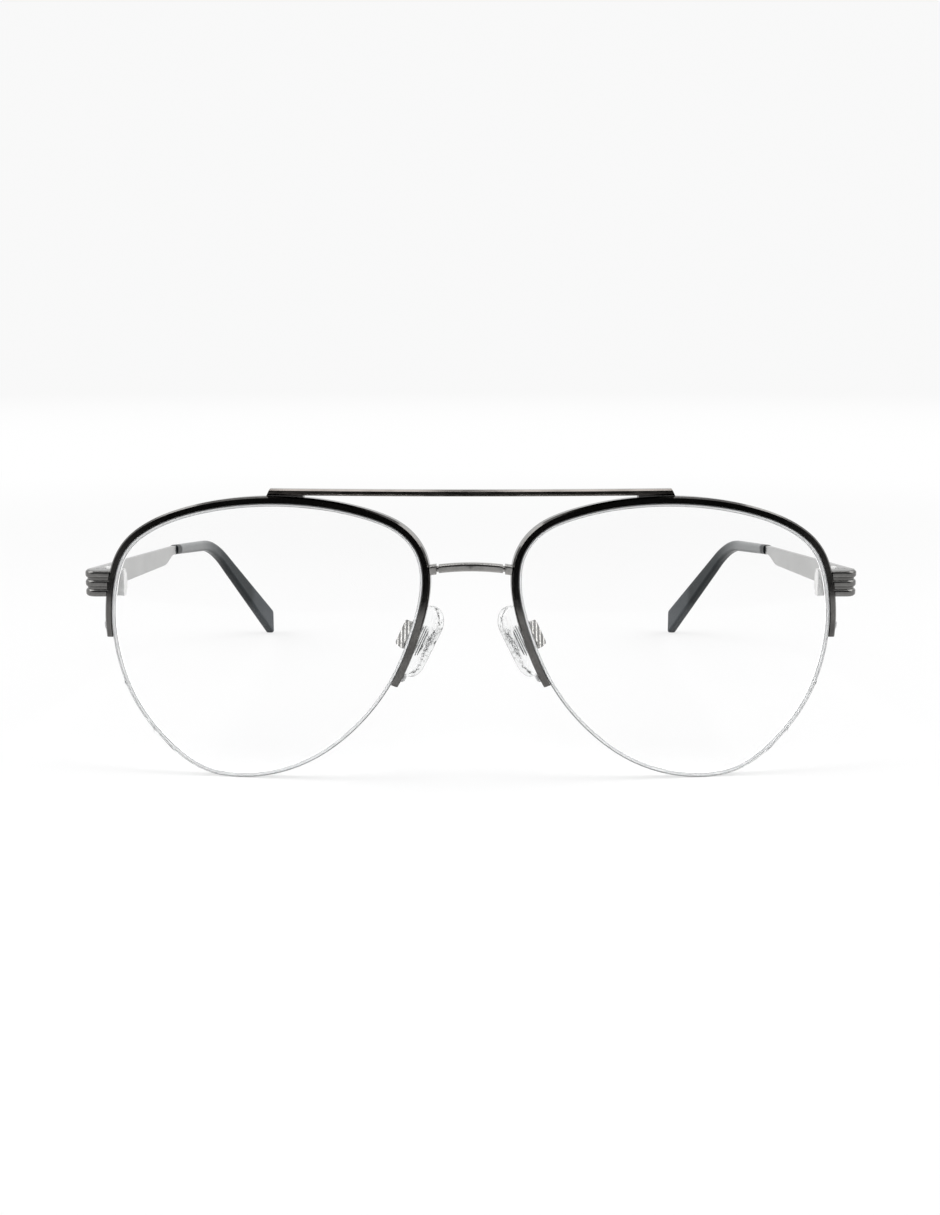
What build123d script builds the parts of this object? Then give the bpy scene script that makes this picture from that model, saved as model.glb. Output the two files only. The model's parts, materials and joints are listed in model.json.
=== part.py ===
# Semi-rimless spectacle frame with two bridges, standing on its lenses and temple tips.
# Millimetres. X runs across the face with the wearer's left at +X, the front looks along -Y, Z is up.
# The wearer's left side is drawn, and the right side is its mirror image.

import os
from math import asin, atan2, cos, degrees, hypot, pi, radians, sin, tan

from build123d import *

os.makedirs("parts", exist_ok=True)

# Lenses
lens_width = 57.0
lens_height = 50.4
lens_gap = 17.5  # across the nose, between the boxes of the two lenses
lens_thickness = 2.0
lens_curve = 120.0  # radius of the front surface
face_angle = 5.0  # degrees that a lens turns back from the nose to the temple
groove_width = 0.66
groove_depth = 0.62

# Outline of a lens from its box centre, as shares of its width (positive to the temple) and height
lens_outline_shares = [
    (0.500, 0.090),
    (0.489, 0.210),
    (0.450, 0.323),
    (0.375, 0.397),
    (0.250, 0.456),
    (0.110, 0.489),
    (-0.035, 0.500),
    (-0.184, 0.489),
    (-0.330, 0.452),
    (-0.432, 0.396),
    (-0.487, 0.313),
    (-0.500, 0.213),
    (-0.470, 0.045),
    (-0.402, -0.138),
    (-0.281, -0.313),
    (-0.130, -0.437),
    (0.098, -0.500),
    (0.215, -0.478),
    (0.335, -0.378),
    (0.430, -0.236),
    (0.485, -0.065),
]

outline_detail = 48  # points that an outline grown or shrunk all round is drawn through
guide_count = 25  # points that the cord's route goes through

# Rims
rim_wall = 1.25
rim_depth = 2.2
rim_chamfer = 0.3
lens_clearance = 0.04
channel_width = 0.66
channel_depth = 0.55
rim_end_temporal_angle = -2.8  # degrees, seen from the rim centre
rim_end_nasal_angle = 203.6
rim_centre_shares = (-0.03, 0.04)

# Nylon: a liner in the rim channel and a cord round the lower edge
liner_clearance = 0.03
liner_ridge = 0.42
cord_diameter = 0.56
cord_sides = 8  # it is drawn with flat sides
cord_sink = 0.31  # from the lens edge to the middle of the cord
cord_bend = 0.36
cord_lead = 0.08  # straight before the first bend
cord_hole_clearance = 0.04
cord_hole_inset = 1.5  # from the rim end to the first hole
cord_hole_spacing = 1.2
cord_loop_height = 0.02
cord_end_height = 0.12  # of the cut end above the lens edge
liner_end_gap = 0.6

# Brow bar and its standoffs
bar_length = 72.2
bar_height = 1.15
bar_depth = 1.9
bar_bow_radius = 260.0
bar_chamfer = 0.3
bar_end_slant = 0.6
bar_gap = 0.18  # between the rim top and the bar
standoff_length = 6.6
standoff_depth = 1.3
standoff_shift = 0.15  # back from the middle of the bar

# Lower bridge
bridge_rise = 14.0  # of its middle above the lens centre line
bridge_height = 1.5
bridge_depth = 1.7
bridge_arch_radius = 40.0
bridge_bow_radius = 36.0
bridge_setback = 0.3  # of its ends behind the front of the rim
bridge_top_round = 0.55
bridge_bottom_round = 0.25
bridge_bar_length = 11.4
collar_width = 0.4
collar_depth = 0.22
foot_growth = 0.15

# End pieces
end_piece_rise = 10.15  # of their middle above the lens centre line
end_piece_reach = 70.4  # from the middle of the face to the outer side
end_piece_depth = 3.0
end_piece_setback = 0.2  # behind the front of the rim
end_piece_corner = 2.2
rib_count = 3
rib_height = 1.4
rib_gap = 0.275
rib_round = 0.5
rib_relief = 0.35
flange_inset = 1.5  # that the end piece reaches behind the rim

# Hinges
barrel_radius = 1.15
barrel_height = 1.3
barrel_gap = 0.04
barrel_clearance = 0.08
screw_radius = 0.55
screw_hole_clearance = 0.03
screw_head_radius = 0.9
screw_head_height = 0.35
screw_slot_width = 0.25
screw_slot_depth = 0.2
front_leaf_thickness = 0.7
temple_leaf_thickness = 0.7
temple_leaf_length = 7.0
temple_leaf_height = 3.2
leaf_round = 0.8
hinge_slit = 0.1

# Temples
temple_thickness = 1.1
temple_height = 4.7
temple_mid_height = 4.2
temple_rear_height = 3.7
temple_length = 64.0  # from the slit to the neck
temple_mid = 28.0
temple_taper = 9.0  # from the rear height to the neck
temple_fall = 2.7
temple_inset = 1.7
temple_round = 0.25
neck_height = 1.9
neck_straight = 2.0
core_radius = 0.5
core_root = 1.0
core_clearance = 0.05
core_end_gap = 9.0

# Temple tips
tip_gap = 0.12
tip_start_height = 2.2
tip_bend_height = 2.6
tip_end_height = 5.6
tip_start_thickness = 2.0
tip_end_thickness = 2.3
tip_reach = 34.4  # back from the neck to the bend
tip_fall = 3.3
tip_inset = 2.2
bend_radius = 30.0
ear_slope = 37.5
ear_inset = 9.3
tip_edge_round = 0.8
tip_upper_corner = 3.0
tip_lower_corner = 0.5
tip_lip_round = 0.3
tip_slack = 0.1

# Nose pads
pad_length = 13.6
pad_upper_radius = 3.7
pad_lower_radius = 3.1
pad_thickness = 2.0
pad_chamfer = 0.5
pad_centre_x = 9.0
pad_centre_y = 10.4
pad_centre_z = 24.3
pad_splay = 28.0
pad_lean = 25.0
pad_core_length = 5.6
pad_core_width = 3.4
pad_core_thickness = 0.7
eyelet_radius = 1.05
eyelet_width = 1.7
eyelet_reach = 2.6  # from the middle of the pad to its screw
pad_screw_radius = 0.4
pad_screw_head_radius = 0.75
pad_screw_head_height = 0.4
pad_screw_clearance = 0.03
pad_box_length = 5.0
pad_box_width = 2.9
pad_box_wall = 0.45
pad_box_depth = 2.3
pad_box_round = 0.6
pad_box_clearance = 0.12
pad_arm_radius = 0.5
pad_arm_bend = 1.6
pad_arm_rise = 5.8  # of its root above the lens centre line
pad_arm_run = 3.6  # straight back from the rim

overrun = 1.0

# The places that the pieces share, worked out from the sizes above
face_turn = radians(face_angle)
lens_centre = Vector((lens_gap + lens_width) / 2, 0, lens_height / 2)
lens_place = Plane(
    origin=lens_centre,
    x_dir=(cos(face_turn), sin(face_turn), 0),
    z_dir=(sin(face_turn), -cos(face_turn), 0),
)
curve_centre = lens_place.offset(-lens_curve).origin
rim_front = (lens_thickness - rim_depth) / 2  # depths are measured back from the front of the lens
rim_back = rim_front + rim_depth
outline_points = [(u * lens_width, v * lens_height) for u, v in lens_outline_shares]
rim_centre = (rim_centre_shares[0] * lens_width, rim_centre_shares[1] * lens_height)
outline_edge = Spline(*outline_points, periodic=True)
first_angle = degrees(atan2(outline_points[0][1] - rim_centre[1], outline_points[0][0] - rim_centre[0]))
temporal_reach = lens_width / 2 - rim_centre[0]
nasal_reach = lens_width / 2 + rim_centre[0]


def beside_outline(share, outward):
    point, along = outline_edge @ share, outline_edge % share
    return point.X + outward * along.Y, point.Y - outward * along.X


def outline_block(grow):
    # a block of the lens outline, grown all round, long enough to pass through the front
    grown_points = [beside_outline(n / outline_detail, grow) for n in range(outline_detail)]
    with BuildPart() as block:
        with BuildSketch(lens_place.offset(lens_width / 2)):
            with BuildLine():
                Spline(*(grown_points if grow else outline_points), periodic=True)
            make_face()
        extrude(amount=-lens_width)
    return block.part


def curved_layer(outer_grow, inner_grow, front, back):
    # the part of the block between two depths, bent like the lens; a ring where it has an inner outline
    with BuildPart() as layer:
        add(outline_block(outer_grow))
        if inner_grow is not None:
            add(outline_block(inner_grow), mode=Mode.SUBTRACT)
        with Locations(curve_centre):
            Sphere(lens_curve - front, mode=Mode.INTERSECT)
            Sphere(lens_curve - back, mode=Mode.SUBTRACT)
    return layer.part


def wedge_below(temporal_angle, nasal_angle):
    # everything under the rim ends, seen from the front
    reach = lens_width + lens_height
    start = (reach * cos(radians(temporal_angle)), reach * sin(radians(temporal_angle)))
    end = (reach * cos(radians(nasal_angle)), reach * sin(radians(nasal_angle)))
    apex = lens_place.from_local_coords((*rim_centre, lens_width))
    with BuildPart() as wedge:
        with BuildSketch(Plane(origin=apex, x_dir=lens_place.x_dir, z_dir=lens_place.z_dir)):
            with BuildLine():
                Polyline((0, 0), start, (reach, -reach), (-reach, -reach), end, (0, 0))
            make_face()
        extrude(amount=-2 * lens_width)
    return wedge.part


def arc_angle(length, reach):
    return degrees(length / reach)


def along_line(edge, direction):
    # whether an edge runs within 60 degrees of the direction, either way
    return abs((edge % 0.5).dot(direction)) > cos(pi / 3)


def outline_share(angle):
    # how far round the outline the given direction from the rim centre is, from 0 to 1
    low, high = 0.0, 1.0
    while high - low > 1e-6:
        middle = (low + high) / 2
        point = outline_edge @ middle
        turn = degrees(atan2(point.Y - rim_centre[1], point.X - rim_centre[0]))
        if (turn - first_angle) % 360 < (angle - first_angle) % 360:
            low = middle
        else:
            high = middle
    return low


def on_layer(share, outward, depth):
    # a point beside the outline, on the layer at a depth behind the front of the lens
    x, y = beside_outline(share, outward)
    z = ((lens_curve - depth) ** 2 - x**2 - y**2) ** 0.5 - lens_curve
    return lens_place.from_local_coords(Vector(x, y, z))


def outside_by(point):
    # how far a point lies outside the lens outline, seen from the rim centre
    local = lens_place.to_local_coords(point)
    x, y = local.X - rim_centre[0], local.Y - rim_centre[1]
    edge = outline_edge @ outline_share(degrees(atan2(y, x)))
    return hypot(x, y) - hypot(edge.X - rim_centre[0], edge.Y - rim_centre[1])


def outward_at(share, depth):
    return (on_layer(share, lens_thickness, depth) - on_layer(share, 0, depth)).normalized()


# Lens
with BuildPart() as lens:
    add(curved_layer(0, None, 0, lens_thickness))
    groove_front = (lens_thickness - groove_width) / 2
    add(
        curved_layer(overrun, -groove_depth, groove_front, groove_front + groove_width),
        mode=Mode.SUBTRACT,
    )

# Nylon cord: it lies in the groove along the lower edge, and each end is threaded through two holes
# of the rim, with a short loop outside
middle_depth = lens_thickness / 2
cord_radius = cord_diameter / 2
hook_run = cord_lead + cord_bend
hook_inset = cord_hole_inset - hook_run
cord_start = outline_share(rim_end_nasal_angle - arc_angle(hook_inset, nasal_reach))
cord_end = outline_share(rim_end_temporal_angle + arc_angle(hook_inset, temporal_reach))
guide_shares = [cord_start + (cord_end - cord_start) * n / (guide_count - 1) for n in range(guide_count)]
guide_points = [on_layer(share, -cord_sink, middle_depth) for share in guide_shares]
with BuildLine() as cord_line:
    heading = Spline(*guide_points, mode=Mode.PRIVATE) % 0
    for start, end in zip(guide_points, guide_points[1:]):
        arc = TangentArc(start, end, tangent=heading)
        heading = arc % 1
cord_route = cord_line.wire()
loop_rise = cord_sink + rim_wall + cord_radius + cord_loop_height
end_rise = cord_sink + cord_end_height
hook_places = []
for at, sign, share in ((0, -1, cord_start), (1, 1, cord_end)):
    along = (cord_route % at) * sign
    hook_places.append(
        Plane(origin=cord_route @ at, x_dir=along, z_dir=along.cross(outward_at(share, middle_depth)))
    )
with BuildPart() as nylon_cord:
    with BuildSketch(Plane(origin=cord_route @ 0, z_dir=cord_route % 0)):
        RegularPolygon(cord_radius, cord_sides)
    sweep(path=cord_route)
    for place in hook_places:
        with BuildLine(place) as hook:
            FilletPolyline(
                (0, 0),
                (hook_run, 0),
                (hook_run, loop_rise),
                (hook_run + cord_hole_spacing, loop_rise),
                (hook_run + cord_hole_spacing, end_rise),
                radius=cord_bend,
            )
        with BuildSketch(Plane(origin=place.origin, z_dir=place.x_dir)):
            RegularPolygon(cord_radius, cord_sides)
        sweep(path=hook.line)

# Rim: a half-eye wire with a channel for the liner and two holes at each end for the cord
with BuildPart() as rim:
    add(curved_layer(rim_wall, lens_clearance, rim_front, rim_back))
    add(wedge_below(rim_end_temporal_angle, rim_end_nasal_angle), mode=Mode.SUBTRACT)
    long_edges = rim.edges().filter_by(lambda e: e.length > lens_height)
    chamfer(long_edges.filter_by(lambda e: outside_by(e @ 0.5) > rim_wall / 2), rim_chamfer)
    channel_front = (lens_thickness - channel_width) / 2
    channel_back = channel_front + channel_width
    add(
        curved_layer(lens_clearance + channel_depth, -overrun, channel_front, channel_back),
        mode=Mode.SUBTRACT,
    )
    for place in hook_places:
        for along in (hook_run, hook_run + cord_hole_spacing):
            with BuildSketch(Plane(origin=place.from_local_coords((along, 0, 0)), z_dir=place.y_dir)):
                Circle(cord_radius + cord_hole_clearance)
            extrude(amount=rim_wall + rim_depth, mode=Mode.SUBTRACT)

# Rim liner: a nylon strip pressed into the channel, with its ridge in the groove of the lens
liner_inset = cord_hole_inset + cord_hole_spacing + cord_radius + liner_end_gap
liner_temporal_angle = rim_end_temporal_angle + arc_angle(liner_inset, temporal_reach)
liner_nasal_angle = rim_end_nasal_angle - arc_angle(liner_inset, nasal_reach)
liner_outside = lens_clearance + channel_depth - liner_clearance
liner_front = channel_front + liner_clearance
liner_back = channel_back - liner_clearance
with BuildPart() as rim_liner:
    add(curved_layer(liner_outside, -liner_ridge, liner_front, liner_back))
    add(wedge_below(liner_temporal_angle, liner_nasal_angle), mode=Mode.SUBTRACT)

# Brow bar: a strip with broken edges, bowed forward, with slanted ends
rim_top = on_layer(outline_share(90), rim_wall, middle_depth)
bar_bottom = lens_height + rim_wall + bar_gap
bar_half = bar_length / 2 + overrun
bar_bow = bar_bow_radius - (bar_bow_radius**2 - bar_half**2) ** 0.5
bar_front, bar_back = rim_top.Y - bar_depth / 2, rim_top.Y + bar_depth / 2
top_half = bar_length / 2 - bar_end_slant
with BuildPart() as brow_bar:
    with BuildSketch(Plane.XZ):
        with BuildLine():
            Polyline(
                (-bar_length / 2, bar_bottom),
                (bar_length / 2, bar_bottom),
                (top_half, bar_bottom + bar_height),
                (-top_half, bar_bottom + bar_height),
                close=True,
            )
        make_face()
    extrude(amount=lens_width, both=True)
    with BuildSketch(Plane.XY.offset(bar_bottom - overrun)):
        with BuildLine():
            ThreePointArc((-bar_half, bar_front), (0, bar_front - bar_bow), (bar_half, bar_front))
            Line((bar_half, bar_front), (bar_half, bar_back))
            ThreePointArc((bar_half, bar_back), (0, bar_back - bar_bow), (-bar_half, bar_back))
            Line((-bar_half, bar_back), (-bar_half, bar_front))
        make_face()
    extrude(amount=bar_height + 2 * overrun, mode=Mode.INTERSECT)
    chamfer(brow_bar.edges().filter_by(lambda e: e.length > bar_length / 2), bar_chamfer)

# Standoff: the solder plate between the bar and the rim top
standoff_middle = bar_length / 2 - standoff_length / 2
standoff_y = rim_top.Y - bar_bow + standoff_middle**2 / (2 * bar_bow_radius) + standoff_shift
with BuildPart() as standoff:
    with BuildSketch(Plane.XY.offset(bar_bottom)):
        standoff_turn = degrees(standoff_middle / bar_bow_radius)
        with Locations(Location((standoff_middle, standoff_y, 0), standoff_turn)):
            Rectangle(standoff_length, standoff_depth)
    extrude(amount=-rim_wall)
    add(outline_block(rim_wall), mode=Mode.SUBTRACT)


# Lower bridge: an arched bar with a collar and a foot at each rim
def arc_drop(radius, half_span):
    return radius - (radius**2 - half_span**2) ** 0.5


bridge_angle = degrees(atan2(bridge_rise - rim_centre[1], -nasal_reach))
bridge_seat = on_layer(outline_share(bridge_angle), rim_wall, rim_front)
bridge_half = bridge_seat.X + overrun
bridge_front = bridge_seat.Y + bridge_setback


def bridge_block(growth, half_length):
    # the bowed and arched bar, made larger or smaller all round
    drop = arc_drop(bridge_arch_radius, bridge_half)
    bow = arc_drop(bridge_bow_radius, bridge_half)
    top = lens_centre.Z + bridge_rise + bridge_height / 2 + growth
    bottom = top - bridge_height - 2 * growth
    front = bridge_front - growth
    back = front + bridge_depth + 2 * growth
    with BuildPart() as block:
        with BuildSketch(Plane.XZ):
            with BuildLine():
                ThreePointArc((-bridge_half, top - drop), (0, top), (bridge_half, top - drop))
                Line((bridge_half, top - drop), (bridge_half, bottom - drop))
                ThreePointArc((bridge_half, bottom - drop), (0, bottom), (-bridge_half, bottom - drop))
                Line((-bridge_half, bottom - drop), (-bridge_half, top - drop))
            make_face()
        extrude(amount=lens_width, both=True)
        with BuildSketch(Plane.XY.offset(top + lens_height)):
            with BuildLine():
                ThreePointArc((-bridge_half, front), (0, front - bow), (bridge_half, front))
                Line((bridge_half, front), (bridge_half, back))
                ThreePointArc((bridge_half, back), (0, back - bow), (-bridge_half, back))
                Line((-bridge_half, back), (-bridge_half, front))
            make_face()
        extrude(amount=-2 * lens_height, mode=Mode.INTERSECT)
        long_edges = block.edges().filter_by(lambda e: e.length > bridge_half)
        fillet(long_edges.group_by(Axis.Z)[-1], bridge_top_round)
        bottom_edges = block.edges().filter_by(lambda e: e.length > bridge_half).group_by(Axis.Z)[0]
        chamfer(bottom_edges, bridge_bottom_round)
        with BuildSketch(Plane.YZ.offset(-half_length)):
            Rectangle(lens_width, 4 * lens_height)
        extrude(amount=2 * half_length, mode=Mode.INTERSECT)
    return block.part


with BuildPart() as bridge:
    add(bridge_block(foot_growth, bridge_half))
    with BuildSketch(Plane.YZ.offset(-bridge_bar_length / 2 - collar_width)):
        Rectangle(lens_width, 4 * lens_height)
    extrude(amount=bridge_bar_length + 2 * collar_width, mode=Mode.SUBTRACT)
    add(bridge_block(0, bridge_bar_length / 2))
    add(bridge_block(-collar_depth, bridge_bar_length / 2 + collar_width))
    rim_space = outline_block(rim_wall)
    add(rim_space, mode=Mode.SUBTRACT)
    add(mirror(rim_space, about=Plane.YZ, mode=Mode.PRIVATE), mode=Mode.SUBTRACT)

# End piece: a block soldered to the rim, with ribs wrapped round its outer corner
hinge_z = lens_centre.Z + end_piece_rise
end_angle = degrees(atan2(end_piece_rise - rim_centre[1], temporal_reach))
end_seat = on_layer(outline_share(end_angle), rim_wall, rim_front)
end_front = end_seat.Y + end_piece_setback
end_back = end_front + end_piece_depth
end_inner = end_seat.X - rim_wall - flange_inset
end_height = rib_count * rib_height + (rib_count - 1) * rib_gap


def outside_rib(point):
    # on the front or the outer side of the end piece, or on its rounded corner
    return point.X > end_inner + flange_inset and point.Y < end_back - rib_round


def end_piece_layer(bottom, height, relief):
    # one height of the block, drawn in on its front and outer side by the relief
    with BuildPart() as block:
        with BuildSketch(Plane.XY.offset(bottom)) as plan:
            with BuildLine():
                Polyline(
                    (end_inner, end_front + relief),
                    (end_piece_reach - relief, end_front + relief),
                    (end_piece_reach - relief, end_back),
                    (end_inner, end_back),
                    close=True,
                )
            make_face()
            corner = plan.vertices().sort_by(lambda v: v.X - v.Y)[-1]
            fillet(corner, end_piece_corner - relief)
        extrude(amount=height)
    return block


with BuildPart() as end_piece:
    add(end_piece_layer(hinge_z - end_height / 2, end_height, rib_relief).part)
    for n in range(rib_count):
        rib = end_piece_layer(hinge_z - end_height / 2 + n * (rib_height + rib_gap), rib_height, 0)
        with BuildPart() as soft_rib:
            add(rib.part)
            front_edges = soft_rib.edges().filter_by(Plane.XY).filter_by(lambda e: outside_rib(e @ 0.5))
            fillet(front_edges, rib_round)
        add(soft_rib.part)
    add(curved_layer(rim_wall, None, -rim_depth, rim_back), mode=Mode.SUBTRACT)

# Hinge: three barrels on one upright screw, two on the front leaf and one on the temple leaf
plate_inside = end_piece_reach - temple_thickness
axis_x = plate_inside - barrel_radius - barrel_clearance
axis_y = end_back + barrel_radius + barrel_clearance
barrel_pitch = barrel_height + barrel_gap
stack_height = barrel_height + 2 * barrel_pitch
stack_top = hinge_z + stack_height / 2
with BuildPart() as front_leaf:
    with BuildSketch(Plane.XZ.offset(-end_back)):
        with Locations(((end_inner + axis_x) / 2, hinge_z)):
            Rectangle(axis_x - end_inner, stack_height)
    extrude(amount=-front_leaf_thickness)
    inner_corners = front_leaf.edges().filter_by(Axis.Y).group_by(Axis.X)[0]
    fillet(inner_corners, leaf_round)
    with BuildSketch(Plane.XY.offset(hinge_z - stack_height / 2)):
        with Locations((axis_x, axis_y)):
            Circle(barrel_radius)
    extrude(amount=stack_height)
    with BuildSketch(Plane.XY.offset(hinge_z - barrel_height / 2 - barrel_gap)):
        with Locations((axis_x, axis_y)):
            Circle(barrel_radius + barrel_clearance)
    extrude(amount=barrel_height + 2 * barrel_gap, mode=Mode.SUBTRACT)
    with BuildSketch(Plane.XY.offset(hinge_z - stack_height)):
        with Locations((axis_x, axis_y)):
            Circle(screw_radius + screw_hole_clearance)
    extrude(amount=2 * stack_height, mode=Mode.SUBTRACT)

with BuildPart() as hinge_screw:
    with BuildSketch(Plane.XY.offset(hinge_z - stack_height / 2)):
        with Locations((axis_x, axis_y)):
            Circle(screw_radius)
    extrude(amount=stack_height)
    with BuildSketch(Plane.XY.offset(stack_top)):
        with Locations((axis_x, axis_y)):
            Circle(screw_head_radius)
    extrude(amount=screw_head_height)
    with BuildSketch(Plane.XY.offset(stack_top + screw_head_height)):
        with Locations((axis_x, axis_y)):
            Rectangle(3 * screw_head_radius, screw_slot_width)
    extrude(amount=-screw_slot_depth, mode=Mode.SUBTRACT)

# Temple: a flat plate that tapers to a neck, and a core wire that runs on inside the tip
temple_turn = atan2(temple_inset, temple_length)
backward = Vector(-sin(temple_turn), cos(temple_turn), 0)
outward = Vector(cos(temple_turn), sin(temple_turn), 0)
temple_start = Vector(plate_inside, end_back + hinge_slit, hinge_z)
temple_place = Plane(origin=temple_start, x_dir=backward, z_dir=outward)
neck = temple_start + backward * temple_length + outward * (temple_thickness / 2)
neck -= Vector(0, 0, temple_fall)
neck_top = neck_height / 2 - temple_fall
top_slope = (neck_top - temple_height / 2) / temple_length


def top_edge(run):
    return temple_height / 2 + top_slope * run


rear_run = temple_length - temple_taper - neck_straight
neck_run = temple_length - neck_straight
with BuildPart() as temple_plate:
    with BuildSketch(temple_place):
        with BuildLine():
            bottom = Polyline(
                (0, -temple_height / 2),
                (temple_mid, top_edge(temple_mid) - temple_mid_height),
                (rear_run, top_edge(rear_run) - temple_rear_height),
            )
            taper = Spline(
                bottom @ 1,
                (neck_run, top_edge(neck_run) - neck_height),
                tangents=[(1, 0), (1, top_slope)],
            )
            Polyline(
                taper @ 1,
                (temple_length, neck_top - neck_height),
                (temple_length, neck_top),
                (0, temple_height / 2),
                (0, -temple_height / 2),
            )
        make_face()
    extrude(amount=temple_thickness)
    outer_rim = temple_plate.faces().sort_by(lambda f: f.center().dot(outward))[-1].edges()
    fillet(outer_rim.filter_by(lambda e: along_line(e, backward)), temple_round)

# Route of the core wire and the tip: straight from the neck, a bend over the ear, straight to the end
ear_angle = radians(ear_slope)
lower_corner_rise = tip_lower_corner * (1 / tan(pi / 4 - ear_angle / 2) - 1)
tip_end_z = tip_end_height / 2 / cos(ear_angle) + tip_slack - lower_corner_rise
bend_corner = neck + Vector(-tip_inset, tip_reach, -tip_fall)
ear_fall = bend_corner.Z - tip_end_z
ear_reach = ear_fall / tan(ear_angle)
tip_end = bend_corner + Vector(-ear_inset, ear_reach, -ear_fall)
first_leg = (bend_corner - neck).normalized()
second_leg = (tip_end - bend_corner).normalized()
with BuildLine() as core_line:
    FilletPolyline(
        neck - first_leg * core_root, bend_corner, tip_end - second_leg * core_end_gap, radius=bend_radius
    )
with BuildPart() as temple:
    add(temple_plate.part)
    with BuildSketch(Plane(origin=core_line.line @ 0, z_dir=first_leg)):
        Circle(core_radius)
    sweep(path=core_line.line)

# Temple leaf: its barrel turns on the screw, and its foot is fixed inside the plate
leaf_start = axis_y - temple_start.Y + barrel_radius + barrel_clearance
with BuildPart() as temple_leaf:
    with BuildSketch(temple_place):
        with Locations((leaf_start + temple_leaf_length / 2, 0)):
            Rectangle(temple_leaf_length, temple_leaf_height)
    extrude(amount=-temple_leaf_thickness)
    leaf_corners = temple_leaf.edges().filter_by(lambda e: along_line(e, outward))
    fillet(leaf_corners.group_by(Axis.Y)[-1], leaf_round)
    with BuildSketch(Plane.XY.offset(hinge_z - barrel_height / 2)):
        with Locations((axis_x, axis_y)):
            Circle(barrel_radius)
        with BuildLine():
            Polyline(
                (axis_x, axis_y),
                (axis_x, leaf_start + temple_start.Y + leaf_round),
                (plate_inside - temple_leaf_thickness / 2, leaf_start + temple_start.Y + leaf_round),
                (plate_inside - barrel_clearance, axis_y),
                (axis_x, axis_y),
            )
        make_face()
    extrude(amount=barrel_height)
    with BuildSketch(Plane.XY.offset(hinge_z - stack_height)):
        with Locations((axis_x, axis_y)):
            Circle(screw_radius + screw_hole_clearance)
    extrude(amount=2 * stack_height, mode=Mode.SUBTRACT)

# Temple tip: an acetate sleeve over the core wire, wider to its end, which is upright and rounded
tip_start = neck + first_leg * tip_gap
tip_far = tip_end + second_leg * tip_end_height
far_share = (tip_far - bend_corner).length / (tip_end - bend_corner).length
tip_far_height = tip_bend_height + (tip_end_height - tip_bend_height) * far_share
bend_run = bend_radius * tan(radians(first_leg.get_angle(second_leg)) / 2)


def from_side(point):
    return Vector(point.Y, point.Z)


def from_above(point):
    return Vector(point.X, point.Y)


def sleeve_outline(view, start_size, bend_size, far_size):
    # the sleeve seen from the side or from above: straight, bent over the ear, and straight again
    points = [view(point) for point in (tip_start, bend_corner, tip_far)]
    before, after = (points[1] - points[0]).normalized(), (points[2] - points[1]).normalized()
    half_turn = asin(before.cross(after).Z) / 2
    headings = (before, (before + after).normalized(), after)
    sizes = (start_size / 2, bend_size / 2 / cos(half_turn), far_size / 2)
    long_edges = []
    for side in (1, -1):
        shifts = [Vector(-heading.Y, heading.X) * size * side for heading, size in zip(headings, sizes)]
        bend = abs(side * bend_size / 2 - bend_run / tan(half_turn))
        long_edges.append(FilletPolyline(*[p + shift for p, shift in zip(points, shifts)], radius=bend))
    Line(long_edges[0] @ 0, long_edges[1] @ 0)
    Line(long_edges[0] @ 1, long_edges[1] @ 1)


with BuildPart() as temple_tip:
    with BuildSketch(Plane.YZ):
        with BuildLine():
            sleeve_outline(from_side, tip_start_height, tip_bend_height, tip_far_height)
        make_face()
    extrude(amount=end_piece_reach)
    with BuildSketch(Plane.XY.offset(-lens_height)):
        with BuildLine():
            middle_thickness = (tip_start_thickness + tip_end_thickness) / 2
            sleeve_outline(from_above, tip_start_thickness, middle_thickness, tip_end_thickness)
        make_face()
    extrude(amount=3 * lens_height, mode=Mode.INTERSECT)
    fillet(temple_tip.edges().filter_by(lambda e: e.length > tip_far_height), tip_edge_round)
    half_cut = tip_end_height / 2 / cos(ear_angle) + tip_slack
    low_y = tip_end.Y - 2 * tip_end_height
    low_z = tip_end.Z - half_cut + 2 * tip_end_height * tan(ear_angle)
    with BuildSketch(Plane.YZ) as side_view:
        with BuildLine():
            Polyline(
                (tip_end.Y, tip_end.Z + half_cut),
                (tip_end.Y, tip_end.Z - half_cut),
                (low_y, low_z),
                (low_y, -lens_height),
                (0, -lens_height),
                (0, tip_end.Z + half_cut + tip_end.Y * tan(ear_angle) + overrun),
                close=True,
            )
        make_face()
        end_corners = side_view.vertices().group_by(Axis.X)[-1].sort_by(Axis.Y)
        fillet(end_corners[-1], tip_upper_corner)
        fillet(side_view.vertices().group_by(Axis.X)[-1].sort_by(Axis.Y)[0], tip_lower_corner)
    extrude(amount=end_piece_reach, both=True, mode=Mode.INTERSECT)
    end_edges = temple_tip.edges().filter_by(lambda e: (e @ 0.5).Y > tip_end.Y - tip_upper_corner)
    fillet(end_edges.filter_by(lambda e: not along_line(e, Vector(1, 0, 0))), tip_lip_round)
    with BuildLine() as bore_line:
        FilletPolyline(
            neck - first_leg * core_root,
            bend_corner,
            tip_end - second_leg * (core_end_gap - core_clearance),
            radius=bend_radius,
        )
    with BuildSketch(Plane(origin=bore_line.line @ 0, z_dir=first_leg)):
        Circle(core_radius + core_clearance)
    sweep(path=bore_line.line, mode=Mode.SUBTRACT)

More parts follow.
